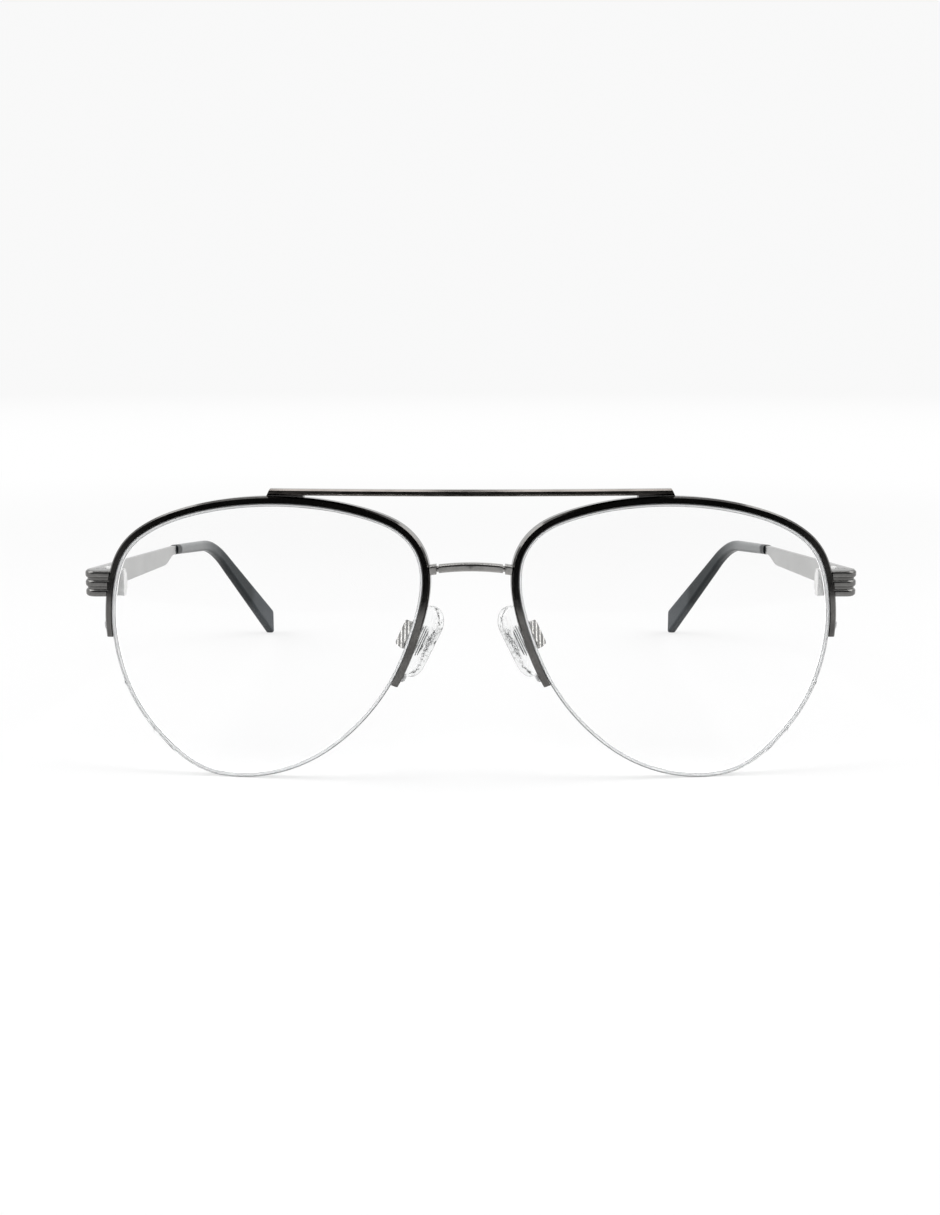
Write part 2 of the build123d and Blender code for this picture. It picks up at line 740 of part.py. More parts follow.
# Nose pad: clear silicone moulded over a plastic core, whose eyelet turns on a screw in the pad box
pad_centre = Vector(pad_centre_x, pad_centre_y, pad_centre_z)
lean, splay = radians(pad_lean), radians(pad_splay)
pad_up = Vector(-sin(lean), 0, cos(lean))
level_normal = Vector(-cos(splay), sin(splay), 0)
pad_normal = (level_normal - pad_up * level_normal.dot(pad_up)).normalized()
pad_place = Plane(origin=pad_centre, x_dir=pad_up, z_dir=pad_normal)
screw_place = Plane(origin=pad_centre - pad_normal * eyelet_reach, x_dir=pad_up, z_dir=pad_place.y_dir)
with BuildPart() as pad_core:
    with BuildSketch(pad_place.offset(-pad_core_thickness / 2)):
        Ellipse(pad_core_length / 2, pad_core_width / 2)
    extrude(amount=pad_core_thickness)
    with BuildSketch(pad_place.offset(-eyelet_reach)):
        Rectangle(2 * eyelet_radius, eyelet_width)
    extrude(amount=eyelet_reach)
    with BuildSketch(screw_place.offset(-eyelet_width / 2)):
        Circle(eyelet_radius)
    extrude(amount=eyelet_width)
    with BuildSketch(screw_place.offset(-eyelet_width)):
        Circle(pad_screw_radius + pad_screw_clearance)
    extrude(amount=2 * eyelet_width, mode=Mode.SUBTRACT)
with BuildPart() as nose_pad:
    with BuildSketch(pad_place.offset(-pad_thickness / 2)) as pad_outline:
        with Locations((pad_length / 2 - pad_upper_radius, 0)):
            Circle(pad_upper_radius)
        with Locations((pad_lower_radius - pad_length / 2, 0)):
            Circle(pad_lower_radius)
        make_hull(pad_outline.edges())
    extrude(amount=pad_thickness)
    flat_faces = nose_pad.faces().filter_by(GeomType.PLANE).sort_by(lambda f: f.center().dot(pad_normal))
    chamfer(flat_faces[0].edges() + flat_faces[-1].edges(), pad_chamfer)
    add(pad_core.part, mode=Mode.SUBTRACT)

# Pad box: a small cup round the eyelet, with a hole for the screw through both walls
box_floor = eyelet_reach + eyelet_radius + pad_box_clearance + pad_box_wall
with BuildPart() as box_block:
    with BuildSketch(pad_place.offset(-box_floor)):
        Rectangle(pad_box_length, pad_box_width)
    extrude(amount=pad_box_depth)
    fillet(box_block.edges().filter_by(lambda e: along_line(e, pad_normal)), pad_box_round)
with BuildPart() as pad_box:
    add(box_block.part)
    inner_length, inner_width = pad_box_length - 2 * pad_box_wall, pad_box_width - 2 * pad_box_wall
    with BuildSketch(pad_place.offset(pad_box_wall - box_floor)):
        RectangleRounded(inner_length, inner_width, pad_box_round - pad_box_wall / 2)
    extrude(amount=pad_box_depth, mode=Mode.SUBTRACT)
    with BuildSketch(screw_place.offset(-pad_box_width)):
        Circle(pad_screw_radius)
    extrude(amount=2 * pad_box_width, mode=Mode.SUBTRACT)
with BuildPart() as pad_screw:
    with BuildSketch(screw_place.offset(-pad_box_width / 2)):
        Circle(pad_screw_radius)
    extrude(amount=pad_box_width)
    with BuildSketch(screw_place.offset(pad_box_width / 2)):
        Circle(pad_screw_head_radius)
    extrude(amount=pad_screw_head_height)
    with BuildSketch(screw_place.offset(pad_box_width / 2 + pad_screw_head_height)):
        Rectangle(3 * pad_screw_head_radius, screw_slot_width)
    extrude(amount=-screw_slot_depth, mode=Mode.SUBTRACT)

# Pad arm: a wire from the back of the rim to the upper end of the box
arm_angle = degrees(atan2(pad_arm_rise - rim_centre[1], -nasal_reach))
arm_root = on_layer(outline_share(arm_angle), rim_wall / 2, rim_back - rim_depth / 2)
arm_turn = Vector(arm_root.X, arm_root.Y + rim_depth / 2 + pad_arm_run + pad_arm_bend, arm_root.Z)
box_middle = pad_centre - pad_normal * (box_floor - pad_box_depth / 2)
arm_end = box_middle + pad_up * (pad_box_length / 2 - pad_box_wall)
with BuildPart() as pad_arm:
    with BuildLine() as arm_line:
        FilletPolyline(arm_root, arm_turn, arm_end, radius=pad_arm_bend)
    with BuildSketch(Plane(origin=arm_line.line @ 0, z_dir=arm_line.line % 0)):
        Circle(pad_arm_radius)
    sweep(path=arm_line.line)
    add(curved_layer(lens_gap / 2, None, -rim_depth, rim_back), mode=Mode.SUBTRACT)
    add(box_block.part, mode=Mode.SUBTRACT)

# Every piece is moved so that the middle of the footprint is the origin, and written out
pairs = {
    "lens": lens,
    "nylon_cord": nylon_cord,
    "rim": rim,
    "rim_liner": rim_liner,
    "brow_bar_standoff": standoff,
    "end_piece": end_piece,
    "front_hinge_leaf": front_leaf,
    "hinge_screw": hinge_screw,
    "temple": temple,
    "temple_hinge_leaf": temple_leaf,
    "temple_tip": temple_tip,
    "pad_arm": pad_arm,
    "pad_box": pad_box,
    "pad_screw": pad_screw,
    "pad_core": pad_core,
    "nose_pad": nose_pad,
}
boxes = [piece.part.bounding_box() for piece in (*pairs.values(), brow_bar, bridge)]
front_edge = min(box.min.Y for box in boxes)
back_edge = max(box.max.Y for box in boxes)
to_middle = Location((0, -(front_edge + back_edge) / 2, -min(box.min.Z for box in boxes)))


def save(name, solid):
    placed = solid.moved(to_middle)
    placed.label = name
    export_step(placed, os.path.join("parts", name + ".step"))


for name, piece in pairs.items():
    save(name + "_left", piece.part)
    save(name + "_right", mirror(piece.part, about=Plane.YZ))
save("brow_bar", brow_bar.part)
save("bridge", bridge.part)
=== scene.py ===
import json
import math

import bmesh
import bpy
from mathutils import Matrix, Vector

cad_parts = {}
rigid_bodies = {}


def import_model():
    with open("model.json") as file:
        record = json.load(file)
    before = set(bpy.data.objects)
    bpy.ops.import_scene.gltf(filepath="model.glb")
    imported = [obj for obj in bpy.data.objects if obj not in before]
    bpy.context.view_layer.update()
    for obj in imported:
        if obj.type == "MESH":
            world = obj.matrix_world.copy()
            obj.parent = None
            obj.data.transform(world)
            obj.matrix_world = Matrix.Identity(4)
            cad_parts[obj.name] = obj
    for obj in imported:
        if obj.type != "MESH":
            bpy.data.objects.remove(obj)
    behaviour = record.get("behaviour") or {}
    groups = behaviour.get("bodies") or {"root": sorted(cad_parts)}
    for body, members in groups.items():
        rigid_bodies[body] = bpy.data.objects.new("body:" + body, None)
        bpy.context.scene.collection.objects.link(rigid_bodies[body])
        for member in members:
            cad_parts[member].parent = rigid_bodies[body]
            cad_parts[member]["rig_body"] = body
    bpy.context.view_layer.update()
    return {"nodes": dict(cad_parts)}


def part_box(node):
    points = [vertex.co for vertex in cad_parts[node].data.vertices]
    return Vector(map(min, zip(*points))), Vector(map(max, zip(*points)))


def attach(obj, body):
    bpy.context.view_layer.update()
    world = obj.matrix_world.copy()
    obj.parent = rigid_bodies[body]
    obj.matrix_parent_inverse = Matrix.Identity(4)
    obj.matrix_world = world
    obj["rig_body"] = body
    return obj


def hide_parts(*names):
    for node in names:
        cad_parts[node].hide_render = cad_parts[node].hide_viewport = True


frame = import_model()
nodes = frame["nodes"]
sides = {"left": 1, "right": -1}  # of the wearer, and the way that each lies along X
print("frame loaded:", len(nodes), "nodes")

# Shader helpers


def newMaterial(name):
    material = bpy.data.materials.new(name)
    material.use_nodes = True
    tree = material.node_tree
    return material, tree, tree.nodes["Principled BSDF"]


def addNode(tree, kind, inputs=(), **settings):
    node = tree.nodes.new("ShaderNode" + kind)
    for key, value in settings.items():
        setattr(node, key, value)
    for key, value in dict(inputs).items():
        node.inputs[key].default_value = value
    return node


def objectPoint(tree, stretch=(1, 1, 1)):
    coordinates = addNode(tree, "TexCoord")
    mapping = addNode(tree, "Mapping", {"Scale": stretch})
    tree.links.new(coordinates.outputs["Object"], mapping.inputs["Vector"])
    return mapping.outputs["Vector"]


def noise(tree, point, size, detail=3.0, fall=0.55):
    # size is the size of a grain, in metres; fall is how much of it stays in each finer layer
    node = addNode(tree, "TexNoise", {"Scale": 1 / size, "Detail": detail, "Roughness": fall})
    tree.links.new(point, node.inputs["Vector"])
    return node.outputs["Fac"]


def calculate(tree, operation, first, second):
    node = addNode(tree, "Math", operation=operation)
    for place, value in enumerate((first, second)):
        if isinstance(value, (int, float)):
            node.inputs[place].default_value = value
        else:
            tree.links.new(value, node.inputs[place])
    return node.outputs["Value"]


def spread(tree, value, low, high, fromLow=0.3, fromHigh=0.7, kind="LINEAR"):
    limits = {"From Min": fromLow, "From Max": fromHigh, "To Min": low, "To Max": high}
    node = addNode(tree, "MapRange", limits, clamp=True, interpolation_type=kind)
    tree.links.new(value, node.inputs["Value"])
    return node.outputs["Result"]


def ramp(tree, value, stops):
    node = addNode(tree, "ValToRGB")
    points = node.color_ramp.elements
    while len(points) < len(stops):
        points.new(0.5)
    for point, (place, color) in zip(points, stops):
        point.position = place
        point.color = (*color, 1)
    tree.links.new(value, node.inputs["Fac"])
    return node.outputs["Color"]


def bump(tree, shader, height, strength, depth=0.00002):
    # a second bump lies on top of the first
    node = addNode(tree, "Bump", {"Strength": strength, "Distance": depth})
    tree.links.new(height, node.inputs["Height"])
    below = [link.from_socket for link in shader.inputs["Normal"].links]
    for normal in below:
        tree.links.new(normal, node.inputs["Normal"])
    tree.links.new(node.outputs["Normal"], shader.inputs["Normal"])


def raySeen(tree, kinds):
    # 1 for the rays of these kinds, 0 for others
    path = addNode(tree, "LightPath")
    seen = path.outputs[kinds[0]]
    for kind in kinds[1:]:
        seen = calculate(tree, "MAXIMUM", seen, path.outputs[kind])
    return seen


# Metals: plated gunmetal on the front, satin plate on the temples, small bright parts. Each has a dark and
# a light shade, a range of roughness, and the size of its grain in metres; ridges is the pitch of fine ribs

plating = dict(cloud=0.006, darkStop=0.38, lightStop=0.62, ridgeDepth=0.00025)
bandLength = 0.3142  # of the wave texture's bands at a scale of 1

metalLooks = {
    "gunmetal": dict(
        dark=(0.085, 0.082, 0.079), light=(0.150, 0.146, 0.141), rough=(0.09, 0.16), stretch=(1, 1, 1),
        grain=0.00035, bump=0.03,
    ),
    "barGunmetal": dict(
        dark=(0.085, 0.078, 0.072), light=(0.135, 0.124, 0.116), rough=(0.07, 0.13), stretch=(0.12, 1, 1),
        grain=0.0004, bump=0.03,
    ),
    "templeSatin": dict(
        dark=(0.48, 0.48, 0.475), light=(0.55, 0.55, 0.545), rough=(0.32, 0.44), stretch=(1, 0.03, 1),
        grain=0.00022, bump=0.12,
    ),
    "hingeMetal": dict(
        dark=(0.13, 0.128, 0.125), light=(0.21, 0.207, 0.20), rough=(0.16, 0.26), stretch=(1, 1, 1),
        grain=0.0003, bump=0.04,
    ),
    "hingeSatin": dict(
        dark=(0.74, 0.74, 0.735), light=(0.84, 0.84, 0.835), rough=(0.66, 0.76), stretch=(1, 1, 1),
        grain=0.00022, bump=0.12,
    ),
    # the bridge's gunmetal is painted lighter than the rim's: a painted reflection of the pale floor on its
    # lower front
    "bridgeGunmetalPaintedLight": dict(
        dark=(0.30, 0.294, 0.285), light=(0.40, 0.392, 0.38), rough=(0.19, 0.27), stretch=(1, 1, 1),
        grain=0.0003, bump=0.04,
    ),
    "padMetal": dict(
        dark=(0.17, 0.167, 0.16), light=(0.27, 0.267, 0.26), rough=(0.14, 0.22), stretch=(1, 1, 1),
        grain=0.0003, bump=0.04, ridges=0.00055, ridgesAlong="Z",
    ),
    "boxMetal": dict(
        dark=(0.22, 0.217, 0.21), light=(0.36, 0.355, 0.345), rough=(0.10, 0.18), stretch=(1, 1, 1),
        grain=0.0003, bump=0.04, ridges=0.0007, ridgesAlong="X",
    ),
    "screwSteel": dict(
        dark=(0.42, 0.42, 0.415), light=(0.56, 0.56, 0.555), rough=(0.12, 0.24), stretch=(1, 1, 1),
        grain=0.0002, bump=0.03,
    ),
}


def metalMaterial(name, look):
    material, tree, shader = newMaterial(name)
    grain = noise(tree, objectPoint(tree, look["stretch"]), look["grain"], 4.0)
    cloud = noise(tree, objectPoint(tree), plating["cloud"], 2.0)
    mixed = calculate(tree, "MULTIPLY", calculate(tree, "ADD", grain, cloud), 0.5)
    stops = [(plating["darkStop"], look["dark"]), (plating["lightStop"], look["light"])]
    color = ramp(tree, mixed, stops)
    tree.links.new(color, shader.inputs["Base Color"])
    tree.links.new(spread(tree, grain, *look["rough"]), shader.inputs["Roughness"])
    shader.inputs["Metallic"].default_value = 1.0
    bump(tree, shader, grain, look["bump"])
    if "ridges" in look:
        scale = bandLength / look["ridges"]
        wave = addNode(tree, "TexWave", {"Scale": scale}, bands_direction=look["ridgesAlong"])
        tree.links.new(objectPoint(tree), wave.inputs["Vector"])
        bump(tree, shader, wave.outputs["Fac"], 1.0, plating["ridgeDepth"])
    return material


materials = {name: metalMaterial(name, look) for name, look in metalLooks.items()}

# Clear parts: lenses with a ground edge, nylon, the silicone of the pads and the plastic inside it; passing
# is the share of light that their shadow lets through

clouding = dict(tint=0.994, darkStop=0.35, lightStop=0.65, rougher=1.6)

clearLooks = {
    "lensClear": dict(
        color=(1.0, 1.0, 1.0), rough=0.0, ior=1.0, shine=0.5, coat=0.15, through=1.0, cloud=0.02,
        passing=1.0,
    ),
    "lensGround": dict(
        color=(0.985, 0.99, 0.99), rough=0.50, ior=1.3, shine=0.05, through=0.1, cloud=0.0006,
        passing=0.6,
    ),
    # the bevels are clear in the lens; this opaque grey is painted shade, drawn as lines along the lens edge
    "lensBevelPaintedShade": dict(
        color=(0.42, 0.425, 0.43), rough=0.3, ior=1.49, shine=0.3, through=0.0, cloud=0.0008,
        passing=0.0,
    ),
    "nylonClear": dict(
        color=(0.98, 0.985, 0.985), rough=0.40, ior=1.3, shine=0.15, through=0.25, cloud=0.004,
        passing=0.2,
    ),
    "siliconeClear": dict(
        color=(0.97, 0.975, 0.975), rough=0.05, ior=1.41, shine=0.5, through=1.0, cloud=0.0011,
        passing=0.7, ripple=0.0001,
    ),
    "coreClear": dict(
        color=(0.95, 0.955, 0.955), rough=0.05, ior=1.05, shine=0.5, through=0.9, cloud=0.002,
        passing=0.8,
    ),
    "coreRib": dict(
        color=(0.03, 0.03, 0.032), rough=0.25, ior=1.49, shine=0.5, through=0.0, cloud=0.001,
        passing=0.2,
    ),
}


def clearMaterial(name, look):
    # light passes a clear part on its way to the floor, so its shadow is a faint one
    material, tree, shader = newMaterial(name)
    shader.inputs["IOR"].default_value = look["ior"]
    shader.inputs["Specular IOR Level"].default_value = look["shine"]
    shader.inputs["Coat Weight"].default_value = look.get("coat", 0.0)
    shader.inputs["Transmission Weight"].default_value = look["through"]
    cloud = noise(tree, objectPoint(tree), look["cloud"], 2.0)
    tint = tuple(part * clouding["tint"] for part in look["color"])
    stops = [(clouding["darkStop"], tint), (clouding["lightStop"], look["color"])]
    tree.links.new(ramp(tree, cloud, stops), shader.inputs["Base Color"])
    if look["rough"]:
        rough = spread(tree, cloud, look["rough"], look["rough"] * clouding["rougher"])
        tree.links.new(rough, shader.inputs["Roughness"])
    else:
        shader.inputs["Roughness"].default_value = 0.0
    if "ripple" in look:
        bump(tree, shader, cloud, 1.0, look["ripple"])
    passing = calculate(tree, "MULTIPLY", raySeen(tree, ["Is Shadow Ray"]), look["passing"])
    mixer = addNode(tree, "MixShader")
    clear = addNode(tree, "BsdfTransparent")
    tree.links.new(passing, mixer.inputs["Fac"])
    tree.links.new(shader.outputs["BSDF"], mixer.inputs[1])
    tree.links.new(clear.outputs["BSDF"], mixer.inputs[2])
    tree.links.new(mixer.outputs["Shader"], tree.nodes["Material Output"].inputs["Surface"])
    return material


materials.update({name: clearMaterial(name, look) for name, look in clearLooks.items()})

# Acetate of the temple tips, dark all through, with light and shade painted along it: a painted dark ring of
# shade at the neck,
#  a painted grey reflection over the ear, painted shade from where the flat core ends, and a lighter painted
#  reflection at the end; each stop is a share of the way back

tipLookWithPaintedLight = dict(
    stops=[
        (0.0, (0.010, 0.013, 0.015)),
        (0.038, (0.010, 0.013, 0.015)),
        (0.052, (0.290, 0.298, 0.302)),
        (0.30, (0.270, 0.278, 0.282)),
        (0.46, (0.110, 0.118, 0.122)),
        (0.56, (0.020, 0.026, 0.029)),
        (0.79, (0.012, 0.017, 0.020)),
        (0.83, (0.062, 0.072, 0.080)),
        (1.0, (0.078, 0.089, 0.100)),
    ],
    wander=0.0022, cloud=0.0035, grain=0.0004, bump=0.01, rough=(0.26, 0.36), ior=1.49, shine=0.15,
)


def acetatePaintedLightMaterial(name, low, high):
    material, tree, shader = newMaterial(name)
    coordinates = addNode(tree, "TexCoord")
    parts = addNode(tree, "SeparateXYZ")
    tree.links.new(coordinates.outputs["Object"], parts.inputs["Vector"])
    cloud = noise(tree, objectPoint(tree), tipLookWithPaintedLight["cloud"])
    wander = calculate(tree, "MULTIPLY", calculate(tree, "SUBTRACT", cloud, 0.5), tipLookWithPaintedLight["wander"])
    along = spread(tree, calculate(tree, "ADD", parts.outputs["Y"], wander), 0.0, 1.0, low, high)
    # the ramp's colours are painted shade and painted reflection laid along the dark acetate
    tree.links.new(ramp(tree, along, tipLookWithPaintedLight["stops"]), shader.inputs["Base Color"])
    shader.inputs["IOR"].default_value = tipLookWithPaintedLight["ior"]
    shader.inputs["Specular IOR Level"].default_value = tipLookWithPaintedLight["shine"]
    grain = noise(tree, objectPoint(tree), tipLookWithPaintedLight["grain"])
    tree.links.new(spread(tree, grain, *tipLookWithPaintedLight["rough"]), shader.inputs["Roughness"])
    bump(tree, shader, grain, tipLookWithPaintedLight["bump"])
    return material


tipLow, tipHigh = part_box("temple_tip_left")
materials["tipAcetatePaintedLight"] = acetatePaintedLightMaterial("tipAcetatePaintedLight", tipLow.y, tipHigh.y)
print("materials made:", len(materials))

# Pieces that keep the form of their node, with merged vertices and soft shading: each one's material, and
# the angle in degrees from which its edges stay sharp. Lengths are in millimetres from here to the floor

copyLooks = {
    "rim": ("gunmetal", 32),
    "rim_liner": ("nylonClear", 32),
    "nylon_cord": ("nylonClear", 50),
    "brow_bar_standoff": ("gunmetal", 32),
    "front_hinge_leaf": ("hingeSatin", 30),
    "hinge_screw": ("screwSteel", 30),
    "temple": ("templeSatin", 30),
    "temple_hinge_leaf": ("hingeSatin", 30),
    "temple_tip": ("tipAcetatePaintedLight", 40),
    "pad_arm": ("padMetal", 40),
    "pad_box": ("boxMetal", 30),
    "pad_screw": ("screwSteel", 30),
}
barLooks = {"brow_bar": ("barGunmetal", 30), "bridge": ("bridgeGunmetalPaintedLight", 30)}
merging = dict(weld=0.002, sliver=0.001)
millimetre = 0.001


def grow(shape, times):
    bmesh.ops.scale(shape, vec=(times, times, times), verts=shape.verts)


def mergedCopy(node):
    # in millimetres, as are all shapes until finishPiece
    shape = bmesh.new()
    shape.from_mesh(nodes[node].data)
    grow(shape, 1 / millimetre)
    bmesh.ops.remove_doubles(shape, verts=shape.verts, dist=merging["weld"])
    bmesh.ops.dissolve_degenerate(shape, edges=shape.edges, dist=merging["sliver"])
    bmesh.ops.recalc_face_normals(shape, faces=shape.faces)
    return shape


def softShading(shape, limit):
    for face in shape.faces:
        face.smooth = True
    for edge in shape.edges:
        edge.smooth = len(edge.link_faces) == 2 and edge.calc_face_angle(0) < math.radians(limit)


def finishPiece(shape, name, node, looks):
    grow(shape, millimetre)
    mesh = bpy.data.meshes.new(name + "_shape")
    shape.to_mesh(mesh)
    shape.free()
    for look in looks:
        mesh.materials.append(materials[look])
    piece = bpy.data.objects.new(name, mesh)
    bpy.context.scene.collection.objects.link(piece)
    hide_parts(node)
    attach(piece, nodes[node]["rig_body"])
    return piece


def evenNormals(piece):
    piece.modifiers.new("evenNormals", "WEIGHTED_NORMAL").keep_sharp = True


def smoothCopy(node, look, limit):
    shape = mergedCopy(node)
    softShading(shape, limit)
    evenNormals(finishPiece(shape, node + "_shown", node, [look]))


for kind, (look, limit) in copyLooks.items():
    for side in sides:
        smoothCopy(kind + "_" + side, look, limit)

endPieceLook = dict(lugEnd=65.2, limit=26)


def makeEndPiece(side):
    # ribbed and dark outside the rim; the lug behind the lens is painted with the pale hinge satin, painted
    # light over the shade it lies in
    node = "end_piece_" + side
    shape = mergedCopy(node)
    lugEnd = endPieceLook["lugEnd"] * sides[side]
    whole = [*shape.verts, *shape.edges, *shape.faces]
    bmesh.ops.bisect_plane(
        shape, geom=whole, dist=merging["sliver"], plane_co=(lugEnd, 0, 0), plane_no=(1, 0, 0)
    )
    for face in shape.faces:
        # faces on the lug take the pale satin: painted light on part of the same end piece
        face.material_index = 1 if abs(face.calc_center_median().x) < endPieceLook["lugEnd"] else 0
    softShading(shape, endPieceLook["limit"])
    evenNormals(finishPiece(shape, node + "_shown", node, ["hingeMetal", "hingeSatin"]))


for side in sides:
    makeEndPiece(side)
for node, (look, limit) in barLooks.items():
    smoothCopy(node, look, limit)
print("metal pieces made")

# Lenses: polished faces on two spheres round one centre, a ground edge with its groove, and thin bevels
# painted opaque grey as the shade lines along the edge

lensLook = dict(
    centre=(26.791, 48.587, 25.2), radii=(120, 118), slack=0.02, limit=30, bevel=0.2, grooveBevel=0.11,
    grooveCorner=1.0,
)


def makeLens(side):
    node = "lens_" + side
    centre = Vector(lensLook["centre"])
    centre.x *= sides[side]
    shape = mergedCopy(node)
    for face in shape.faces:
        away = [(vert.co - centre).length for vert in face.verts]
        polished = any(
            all(abs(length - radius) < lensLook["slack"] for length in away) for radius in lensLook["radii"]
        )
        face.material_index = 0 if polished else 1
    rounds = [edge for edge in shape.edges if len({face.material_index for face in edge.link_faces}) == 2]
    cut = bmesh.ops.bevel(
        shape, geom=rounds, offset=lensLook["bevel"], segments=1, profile=0.5, affect="EDGES", material=-1
    )
    # the bevel faces take the painted-shade grey
    for face in cut["faces"]:
        face.material_index = 2
    groove = [
        edge
        for edge in shape.edges
        if {face.material_index for face in edge.link_faces} == {1}
        and edge.calc_face_angle(0) > lensLook["grooveCorner"]
    ]
    cut = bmesh.ops.bevel(
        shape, geom=groove, offset=lensLook["grooveBevel"], segments=1, profile=0.5, affect="EDGES",
        material=-1,
    )
    for face in cut["faces"]:
        face.material_index = 2
    softShading(shape, lensLook["limit"])
    for edge in shape.edges:
        if len({face.material_index for face in edge.link_faces}) > 1:
            edge.smooth = False
    piece = finishPiece(shape, node + "_shown", node, ["lensClear", "lensGround", "lensBevelPaintedShade"])
    normals = []
    mesh = piece.data
    corners = mesh.corner_normals
    for face in mesh.polygons:
        for corner in face.loop_indices:
            normal = corners[corner].vector.copy()
            if face.material_index == 0:
                place = mesh.vertices[mesh.loops[corner].vertex_index].co
                away = (place - centre * millimetre).normalized()
                normal = away if away.dot(face.normal) > 0 else -away
            normals.append(normal)
    mesh.normals_split_custom_set(normals)


for side in sides:
    makeLens(side)
print("lenses made")

# Nose pads: clear silicone cushions, each moulded round a ribbed plastic core

padLook = dict(
    length=14.1, width=6.8, drop=0.45, fill=1.0, taper=0.088, thickness=1.8, edge=0.7, crown=0.18, bow=0.3,
    roundEnd=0.985, endSteps=12, edgeSteps=5, corner=1.0, limit=60, insets=(0.8, 0.7, 0.5), lean=25, splay=28,
)
coreLook = dict(
    half=0.35, limit=30, ribs=5, pitch=0.66, length=6.2, width=0.24, rise=0.16, shorter=0.12, edge=0.2,
    proud=0.4,
)


def padPlace(side):
    # the pad's own axes: along it, across it and out of its face towards the nose
    lean, splay = math.radians(padLook["lean"]), math.radians(padLook["splay"])
    along = Vector((-math.sin(lean), 0, math.cos(lean)))
    level = Vector((-math.cos(splay), math.sin(splay), 0))
    out = (level - along * level.dot(along)).normalized()
    across = out.cross(along)
    low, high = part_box("nose_pad_" + side)
    middle = (low + high) / 2 / millimetre
    middle.z -= padLook["drop"]
    flip = Matrix.Scale(sides[side], 4, (1, 0, 0))
    axes = Matrix((along, across, out)).transposed().to_4x4()
    return Matrix.Translation(middle) @ flip @ axes


def slab(length, width, thickness):
    shape = bmesh.new()
    bmesh.ops.create_cube(shape, size=1.0)
    bmesh.ops.scale(shape, vec=(length, width, thickness), verts=shape.verts)
    return shape


def makePad(side):
    length, width, thickness = padLook["length"], padLook["width"], padLook["thickness"]
    shape = slab(length, width, thickness)
    upright = [edge for edge in shape.edges if abs(edge.verts[0].co.z - edge.verts[1].co.z) > thickness / 2]
    bmesh.ops.bevel(
        shape, geom=upright, offset=width / 2 * padLook["roundEnd"], segments=padLook["endSteps"],
        profile=0.5, affect="EDGES", material=-1,
    )
    rims = [edge for edge in shape.edges if edge.calc_face_angle(0) > padLook["corner"]]
    bmesh.ops.bevel(
        shape, geom=rims, offset=padLook["edge"], segments=padLook["edgeSteps"], profile=0.5, affect="EDGES",
        material=-1,
    )
    for inset in padLook["insets"]:
        for face in sorted(shape.faces, key=lambda face: face.calc_area())[-2:]:
            broad = bmesh.ops.extrude_discrete_faces(shape, faces=[face])["faces"][0]
            middle = broad.calc_center_median()
            rise = math.copysign(padLook["crown"] / len(padLook["insets"]), middle.z)
            for vert in broad.verts:
                vert.co = middle + (vert.co - middle) * inset + Vector((0, 0, rise))
    for vert in shape.verts:
        share = vert.co.x / (length / 2)
        vert.co.y *= 1 + padLook["taper"] * share
        vert.co.z -= padLook["bow"] * share ** 2
    bmesh.ops.transform(shape, matrix=padPlace(side), verts=shape.verts)
    bmesh.ops.recalc_face_normals(shape, faces=shape.faces)
    softShading(shape, padLook["limit"])
    piece = finishPiece(shape, "nose_pad_" + side + "_shown", "nose_pad_" + side, ["siliconeClear"])
    piece.modifiers.new("evenNormals", "WEIGHTED_NORMAL")


def makeCore(side):
    # the moulded core of the node, with fine ribs along its back that show through the silicone
    node = "pad_core_" + side
    shape = mergedCopy(node)
    for face in shape.faces:
        face.material_index = 0
    middle = (coreLook["ribs"] - 1) / 2
    for rib in range(coreLook["ribs"]):
        length = coreLook["length"] * (1 - coreLook["shorter"] * abs(rib - middle))
        ribShape = slab(length, coreLook["width"], coreLook["rise"])
        bmesh.ops.bevel(
            ribShape, geom=list(ribShape.edges), offset=coreLook["width"] * coreLook["edge"], segments=1,
            profile=0.5, affect="EDGES", material=-1,
        )
        level = -coreLook["half"] - coreLook["rise"] * coreLook["proud"]
        aside = (rib - middle) * coreLook["pitch"]
        bmesh.ops.translate(ribShape, vec=(0, aside, level), verts=ribShape.verts)
        bmesh.ops.transform(ribShape, matrix=padPlace(side), verts=ribShape.verts)
        bmesh.ops.recalc_face_normals(ribShape, faces=ribShape.faces)
        for face in ribShape.faces:
            face.material_index = 1
        ribMesh = bpy.data.meshes.new("rib_" + side)
        ribShape.to_mesh(ribMesh)
        ribShape.free()
        shape.from_mesh(ribMesh)
        bpy.data.meshes.remove(ribMesh)
    softShading(shape, coreLook["limit"])
    finishPiece(shape, node + "_shown", node, ["coreClear", "coreRib"])


for side in sides:
    makePad(side)
    makeCore(side)
print("nose pads made")

# Floor, light and camera, in metres

floorLook = dict(
    size=8.0, squares=8, below=0.00001, color=0.30, rough=0.9, ownLight=0.65, fadeStart=0.12, fadeEnd=0.7,
    near=1.0, far=0.945, farStart=0.9, farEnd=3.6, room=0.010, roomStart=-0.40, roomEnd=-0.55,
)


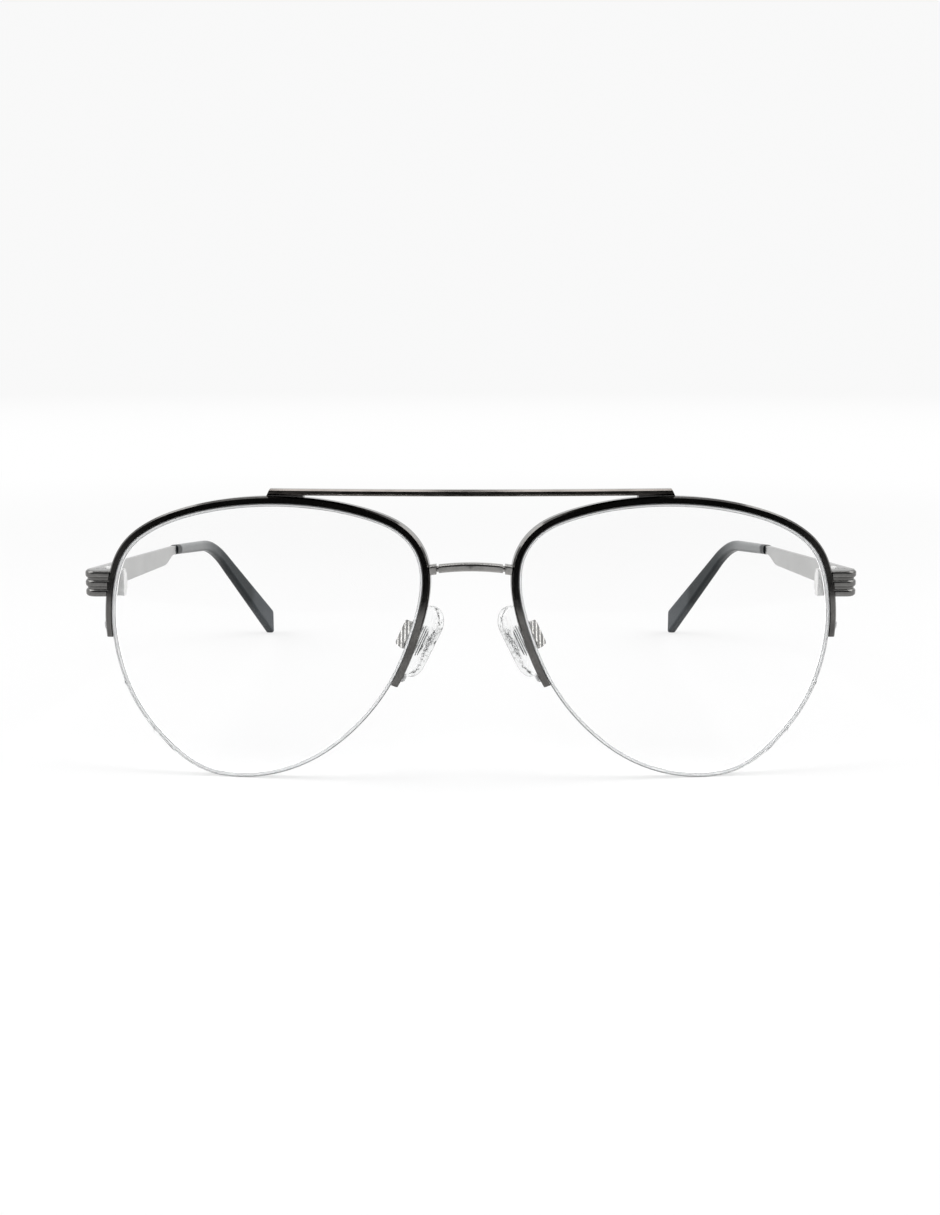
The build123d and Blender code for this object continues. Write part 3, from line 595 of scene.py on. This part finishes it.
def makeFloor():
    # white paper that fades into the backdrop; what polished parts see of it ends at the dark room in front
    shape = bmesh.new()
    squares = floorLook["squares"]
    bmesh.ops.create_grid(shape, x_segments=squares, y_segments=squares, size=floorLook["size"] / 2)
    bmesh.ops.translate(shape, verts=shape.verts, vec=(0, 0, -floorLook["below"]))
    mesh = bpy.data.meshes.new("floor_shape")
    shape.to_mesh(mesh)
    shape.free()
    floor = bpy.data.objects.new("floor", mesh)
    bpy.context.scene.collection.objects.link(floor)
    material, tree, shader = newMaterial("floorWhite")
    paper = floorLook["color"]
    shader.inputs["Base Color"].default_value = (paper, paper, paper, 1)
    shader.inputs["Roughness"].default_value = floorLook["rough"]
    shader.inputs["Specular IOR Level"].default_value = 0.0
    seen = raySeen(tree, ["Is Camera Ray", "Is Glossy Ray", "Is Transmission Ray"])
    shader.inputs["Emission Color"].default_value = (1, 1, 1, 1)
    tree.links.new(
        calculate(tree, "MULTIPLY", seen, floorLook["ownLight"]), shader.inputs["Emission Strength"]
    )
    coordinates = addNode(tree, "TexCoord")
    distance = addNode(tree, "VectorMath", operation="LENGTH")
    tree.links.new(coordinates.outputs["Object"], distance.inputs[0])
    away = spread(
        tree, distance.outputs["Value"], 0.0, 1.0, floorLook["fadeStart"], floorLook["fadeEnd"], "SMOOTHSTEP"
    )
    parts = addNode(tree, "SeparateXYZ")
    tree.links.new(coordinates.outputs["Object"], parts.inputs["Vector"])
    inFront = spread(
        tree, parts.outputs["Y"], 1.0, 0.0, floorLook["roomEnd"], floorLook["roomStart"], "SMOOTHSTEP"
    )
    mirrored = calculate(tree, "MULTIPLY", inFront, raySeen(tree, ["Is Glossy Ray", "Is Transmission Ray"]))
    backdrop = addNode(tree, "Emission")
    pale = spread(
        tree, distance.outputs["Value"], floorLook["near"], floorLook["far"], floorLook["farStart"],
        floorLook["farEnd"], "SMOOTHSTEP",
    )
    unlit = spread(tree, mirrored, 1.0, floorLook["room"], 0.0, 1.0)
    tree.links.new(calculate(tree, "MULTIPLY", pale, unlit), backdrop.inputs["Strength"])
    mixer = addNode(tree, "MixShader")
    tree.links.new(calculate(tree, "MAXIMUM", away, mirrored), mixer.inputs["Fac"])
    tree.links.new(shader.outputs["BSDF"], mixer.inputs[1])
    tree.links.new(backdrop.outputs["Emission"], mixer.inputs[2])
    tree.links.new(mixer.outputs["Shader"], tree.nodes["Material Output"].inputs["Surface"])
    mesh.materials.append(material)


worldLook = dict(backdrop=0.945, room=0.02, roomEdge=-0.75, wallEdge=-0.25, soft=0.55)


def makeWorld():
    # pale all round, but polished parts see a dark room in front of them
    world = bpy.data.worlds.new("studio")
    bpy.context.scene.world = world
    world.use_nodes = True
    tree = world.node_tree
    background = tree.nodes["Background"]
    direction = addNode(tree, "TexCoord")
    parts = addNode(tree, "SeparateXYZ")
    tree.links.new(direction.outputs["Generated"], parts.inputs["Vector"])
    room = spread(
        tree, parts.outputs["Y"], worldLook["room"], worldLook["backdrop"], worldLook["roomEdge"],
        worldLook["wallEdge"], "SMOOTHSTEP",
    )
    polished = addNode(tree, "Mix", data_type="FLOAT")
    polished.inputs["A"].default_value = worldLook["soft"]
    tree.links.new(room, polished.inputs["B"])
    tree.links.new(raySeen(tree, ["Is Glossy Ray", "Is Transmission Ray"]), polished.inputs["Factor"])
    seen = addNode(tree, "Mix", data_type="FLOAT")
    seen.inputs["B"].default_value = worldLook["backdrop"]
    tree.links.new(polished.outputs["Result"], seen.inputs["A"])
    tree.links.new(raySeen(tree, ["Is Camera Ray"]), seen.inputs["Factor"])
    tree.links.new(seen.outputs["Result"], background.inputs["Strength"])
    background.inputs["Color"].default_value = (1, 1, 1, 1)


lamps = {
    "topLeft": dict(place=(-0.14, -0.12, 0.80), aim=(0, -0.03, 0.03), size=(0.14, 0.34), power=0.6),
    "topRight": dict(place=(0.14, -0.12, 0.80), aim=(0, -0.03, 0.03), size=(0.14, 0.34), power=0.6),
    "upperLeft": dict(place=(-0.62, -0.13, 0.62), aim=(0, -0.03, 0.03), size=(0.70, 0.45), power=2.6),
    "upperRight": dict(place=(0.62, -0.13, 0.62), aim=(0, -0.03, 0.03), size=(0.70, 0.45), power=2.6),
    "left": dict(place=(-0.75, -0.25, 0.30), aim=(0, -0.05, 0.03), size=(0.15, 0.40), power=0.5),
    "right": dict(place=(0.75, -0.25, 0.30), aim=(0, -0.05, 0.03), size=(0.15, 0.40), power=0.5),
}


def makeLamps():
    for name, lamp in lamps.items():
        data = bpy.data.lights.new(name + "Light", "AREA")
        data.shape = "RECTANGLE"
        data.size, data.size_y = lamp["size"]
        data.energy = lamp["power"]
        light = bpy.data.objects.new(name + "Light", data)
        bpy.context.scene.collection.objects.link(light)
        light.location = lamp["place"]
        light.rotation_euler = (Vector(lamp["aim"]) - light.location).to_track_quat("-Z", "Y").to_euler()


cameraLook = dict(
    place=(0.0, -0.3124563, 0.0748), down=10.007, lens=41.02, sensor=36, shiftX=-0.00066, nearest=0.01
)


def makeCamera():
    data = bpy.data.cameras.new("photoCamera")
    data.lens = cameraLook["lens"]
    data.sensor_width = cameraLook["sensor"]
    data.clip_start = cameraLook["nearest"]
    data.shift_x = cameraLook["shiftX"]
    camera = bpy.data.objects.new("photoCamera", data)
    bpy.context.scene.collection.objects.link(camera)
    camera.location = cameraLook["place"]
    camera.rotation_euler = (math.radians(90 - cameraLook["down"]), 0, 0)
    bpy.context.scene.camera = camera


makeFloor()
makeWorld()
makeLamps()
makeCamera()
bpy.context.scene.view_settings.view_transform = "Standard"
print("stage made")
